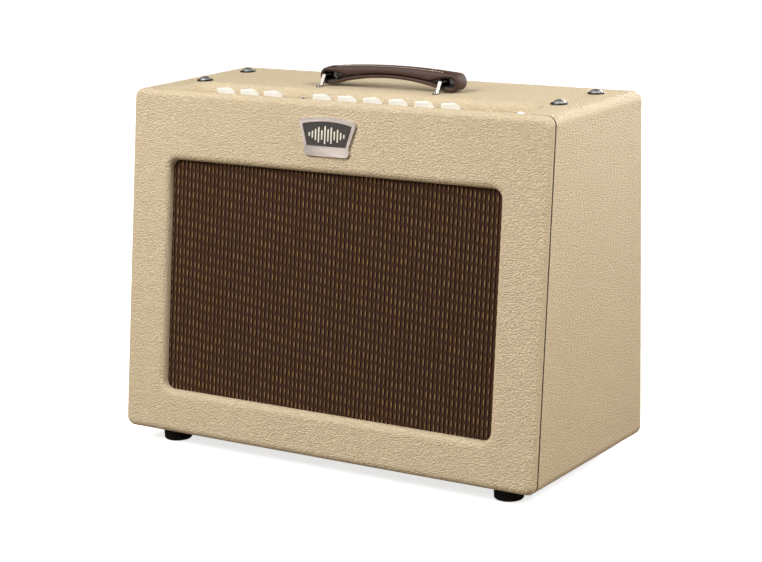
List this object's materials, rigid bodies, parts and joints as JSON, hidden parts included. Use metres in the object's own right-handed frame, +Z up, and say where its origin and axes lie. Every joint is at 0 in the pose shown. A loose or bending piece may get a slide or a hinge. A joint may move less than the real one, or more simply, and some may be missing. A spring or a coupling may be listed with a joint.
{
  "type": "guitar amplifier",
  "caption": "Open-back combo amplifier with a slanted front, cream covering, striped grille cloth, strap handle and a row of pointer knobs sunk into the top.",
  "frame": {"origin": "on the floor under the middle of the cabinet", "axes": "+X to the right seen from the front, +Y towards the open back, +Z up"},
  "size_m": [0.61, 0.2858, 0.486],
  "materials": {
    "cream_vinyl": "cream textured vinyl covering, satin",
    "birch_ply": "raw birch plywood",
    "pine_batten": "raw softwood",
    "gasket": "black foam strip",
    "black_baffle": "plywood painted flat black",
    "grille_cloth": "woven dark brown cloth with tan stripes",
    "badge_metal": "satin plated metal",
    "badge_dark": "dark mesh field",
    "foot_rubber": "black rubber",
    "zinc_screw": "zinc plated",
    "handle_leather": "brown leather with pale stitching",
    "chrome_part": "polished chrome",
    "washer_black": "black",
    "chassis_steel": "zinc plated sheet steel",
    "panel_finish": "brown painted control panel",
    "knob_ivory": "ivory plastic",
    "jewel_white": "faceted milky jewel",
    "black_plastic": "black phenolic",
    "pot_metal": "plated",
    "valve_glass": "clear glass",
    "socket_ceramic": "cream ceramic",
    "transformer_black": "black enamel",
    "tank_metal": "plated pressed steel",
    "basket_paint": "dark grey enamel",
    "magnet_ferrite": "dark ferrite with plated plates",
    "cone_paper": "black pressed paper",
    "surround_paper": "doped corrugated paper",
    "spider_cloth": "resin-stiffened cloth",
    "coil_former": "coil former",
    "lead_sheath": "black sheath"
  },
  "bodies": {
    "cabinet": {"side_board_left": "birch_ply", "side_board_right": "birch_ply", "top_board": "birch_ply", "bottom_board": "birch_ply", "cabinet_covering": "cream_vinyl", "front_frame": "cream_vinyl", "frame_gasket": "gasket", "speaker_baffle": "black_baffle", "grille_cloth": "grille_cloth", "badge_plate": "badge_metal", "badge_field": "badge_dark", "back_panel_upper": "cream_vinyl", "back_panel_lower": "cream_vinyl", "mounting_battens": "pine_batten", "back_panel_screws": "chrome_part", "rubber_feet": "foot_rubber", "foot_screws": "zinc_screw", "handle_brackets": "chrome_part", "handle_screws": "chrome_part", "chassis_tray": "chassis_steel", "control_panel": "panel_finish", "chassis_bolts": "chrome_part", "bolt_cup_washers": "washer_black", "potentiometers": "pot_metal", "input_jack": "chrome_part", "lamp_bezel": "chrome_part", "lamp_jewel": "jewel_white", "switch_bodies": "pot_metal", "mains_inlet": "black_plastic", "fuse_holder": "black_plastic", "rear_jacks": "pot_metal", "power_transformer": "transformer_black", "output_transformer": "transformer_black", "preamp_tubes": "valve_glass", "power_tubes": "valve_glass", "tube_sockets": "socket_ceramic", "reverb_tank": "tank_metal", "reverb_tank_mounts": "foot_rubber", "speaker_basket": "basket_paint", "speaker_magnet": "magnet_ferrite", "speaker_bolts": "zinc_screw", "speaker_lead": "lead_sheath"},
    "handle": {"handle_strap": "handle_leather"},
    "cone": {"speaker_cone": "cone_paper", "speaker_dust_cap": "cone_paper", "voice_coil": "coil_former", "speaker_surround": "surround_paper", "speaker_spider": "spider_cloth"},
    "channel_switch": {"channel_switch_lever": "chrome_part"},
    "power_switch": {"power_switch_lever": "chrome_part"},
    "standby_switch": {"standby_switch_lever": "chrome_part"},
    "knob_1": {"knob_1_rhythm_volume": "knob_ivory"},
    "knob_2": {"knob_2_rhythm_treble": "knob_ivory"},
    "knob_3": {"knob_3_rhythm_bass": "knob_ivory"},
    "knob_4": {"knob_4_lead_volume": "knob_ivory"},
    "knob_5": {"knob_5_lead_tone": "knob_ivory"},
    "knob_6": {"knob_6_lead_bite": "knob_ivory"},
    "knob_7": {"knob_7_reverb": "knob_ivory"},
    "knob_8": {"knob_8_tremolo_speed": "knob_ivory"},
    "knob_9": {"knob_9_tremolo_depth": "knob_ivory"}
  },
  "joints": [
    {"name": "knob_1_rhythm_volume_turn", "type": "hinge", "parent": "cabinet", "child": "knob_1", "pos_m": [-0.184, -0.04408, 0.441], "axis": [0, 0, -1], "range_deg": [0, 300]},
    {"name": "knob_2_rhythm_treble_turn", "type": "hinge", "parent": "cabinet", "child": "knob_2", "pos_m": [-0.1469, -0.04408, 0.441], "axis": [0, 0, -1], "range_deg": [0, 300]},
    {"name": "knob_3_rhythm_bass_turn", "type": "hinge", "parent": "cabinet", "child": "knob_3", "pos_m": [-0.1098, -0.04408, 0.441], "axis": [0, 0, -1], "range_deg": [0, 300]},
    {"name": "knob_4_lead_volume_turn", "type": "hinge", "parent": "cabinet", "child": "knob_4", "pos_m": [-0.0356, -0.04408, 0.441], "axis": [0, 0, -1], "range_deg": [0, 300]},
    {"name": "knob_5_lead_tone_turn", "type": "hinge", "parent": "cabinet", "child": "knob_5", "pos_m": [0.0015, -0.04408, 0.441], "axis": [0, 0, -1], "range_deg": [0, 300]},
    {"name": "knob_6_lead_bite_turn", "type": "hinge", "parent": "cabinet", "child": "knob_6", "pos_m": [0.0386, -0.04408, 0.441], "axis": [0, 0, -1], "range_deg": [0, 300]},
    {"name": "knob_7_reverb_turn", "type": "hinge", "parent": "cabinet", "child": "knob_7", "pos_m": [0.0757, -0.04408, 0.441], "axis": [0, 0, -1], "range_deg": [0, 300]},
    {"name": "knob_8_tremolo_speed_turn", "type": "hinge", "parent": "cabinet", "child": "knob_8", "pos_m": [0.1128, -0.04408, 0.441], "axis": [0, 0, -1], "range_deg": [0, 300]},
    {"name": "knob_9_tremolo_depth_turn", "type": "hinge", "parent": "cabinet", "child": "knob_9", "pos_m": [0.1499, -0.04408, 0.441], "axis": [0, 0, -1], "range_deg": [0, 300]},
    {"name": "channel_switch_flip", "type": "hinge", "parent": "cabinet", "child": "channel_switch", "pos_m": [-0.0727, -0.04408, 0.4444], "axis": [0, 1, 0], "range_deg": [-24, 0]},
    {"name": "power_switch_flip", "type": "hinge", "parent": "cabinet", "child": "power_switch", "pos_m": [-0.178, 0.12917, 0.41], "axis": [1, 0, 0], "range_deg": [0, 24]},
    {"name": "standby_switch_flip", "type": "hinge", "parent": "cabinet", "child": "standby_switch", "pos_m": [-0.143, 0.12917, 0.41], "axis": [1, 0, 0], "range_deg": [0, 24]},
    {"name": "handle_lift", "type": "slide", "parent": "cabinet", "child": "handle", "axis": [0, 0, 1], "range_m": [0, 0.003]},
    {"name": "cone_travel", "type": "slide", "parent": "cabinet", "child": "cone", "axis": [0, 0.9928, -0.1201], "range_m": [-0.004, 0.004], "stiffness_N_per_m": 6000, "deforming": ["speaker_surround", "speaker_spider"]}
  ]
}
